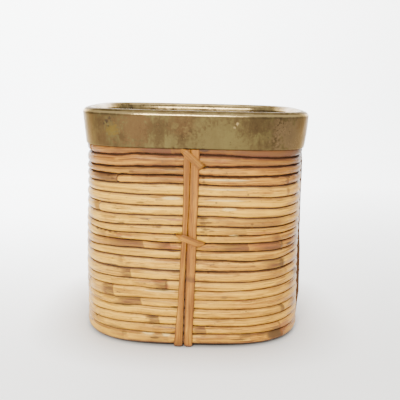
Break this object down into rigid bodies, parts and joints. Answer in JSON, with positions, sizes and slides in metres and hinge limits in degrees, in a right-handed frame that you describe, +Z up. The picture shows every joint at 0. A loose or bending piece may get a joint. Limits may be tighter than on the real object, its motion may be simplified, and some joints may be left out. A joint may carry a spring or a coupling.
{
  "type": "storage basket",
  "caption": "Rounded-square open storage basket of stacked rattan rods, with upright straps, cane lashings and a flared sheet-brass collar.",
  "frame": {"origin": "on the floor under the middle of the basket, level with the flat undersides of the turned-in strap ends", "axes": "+Z up out of the open mouth, -Y towards the front, which is the side the picture shows"},
  "size_m": [0.214, 0.214, 0.2078],
  "materials": {
    "rattan_rod": "pale straw rattan skin, satin, with brown node scars",
    "rattan_strap": "orange-tan split rattan, satin, grain along the strap",
    "cane_lashing": "flat cane, satin",
    "inner_rib": "split rattan, matte",
    "base_board": "bare thin plywood, matte",
    "rim_core": "bent wood hoop, matte, hidden in the collar",
    "aged_brass": "tarnished olive-gold sheet brass, blotched brown, with rubbed edges"
  },
  "bodies": {
    "root": {"course_01": "rattan_rod", "course_02": "rattan_rod", "course_03": "rattan_rod", "course_04": "rattan_rod", "course_05": "rattan_rod", "course_06": "rattan_rod", "course_07": "rattan_rod", "course_08": "rattan_rod", "course_09": "rattan_rod", "course_10": "rattan_rod", "course_11": "rattan_rod", "course_12": "rattan_rod", "course_13": "rattan_rod", "course_14": "rattan_rod", "course_15": "rattan_rod", "course_16": "rattan_rod", "course_17": "rattan_rod", "course_18": "rattan_rod", "course_19": "rattan_rod", "course_20": "rattan_rod", "course_21": "rattan_rod", "front_left_strap": "rattan_strap", "front_right_strap": "rattan_strap", "right_left_strap": "rattan_strap", "right_right_strap": "rattan_strap", "back_left_strap": "rattan_strap", "back_right_strap": "rattan_strap", "left_left_strap": "rattan_strap", "left_right_strap": "rattan_strap", "front_top_lashing": "cane_lashing", "front_middle_lashing": "cane_lashing", "right_top_lashing": "cane_lashing", "right_middle_lashing": "cane_lashing", "back_top_lashing": "cane_lashing", "back_middle_lashing": "cane_lashing", "left_top_lashing": "cane_lashing", "left_middle_lashing": "cane_lashing", "front_inner_rib": "inner_rib", "right_inner_rib": "inner_rib", "back_inner_rib": "inner_rib", "left_inner_rib": "inner_rib", "base_board": "base_board", "rim_core": "rim_core", "brass_collar": "aged_brass"}
  },
  "joints": []
}
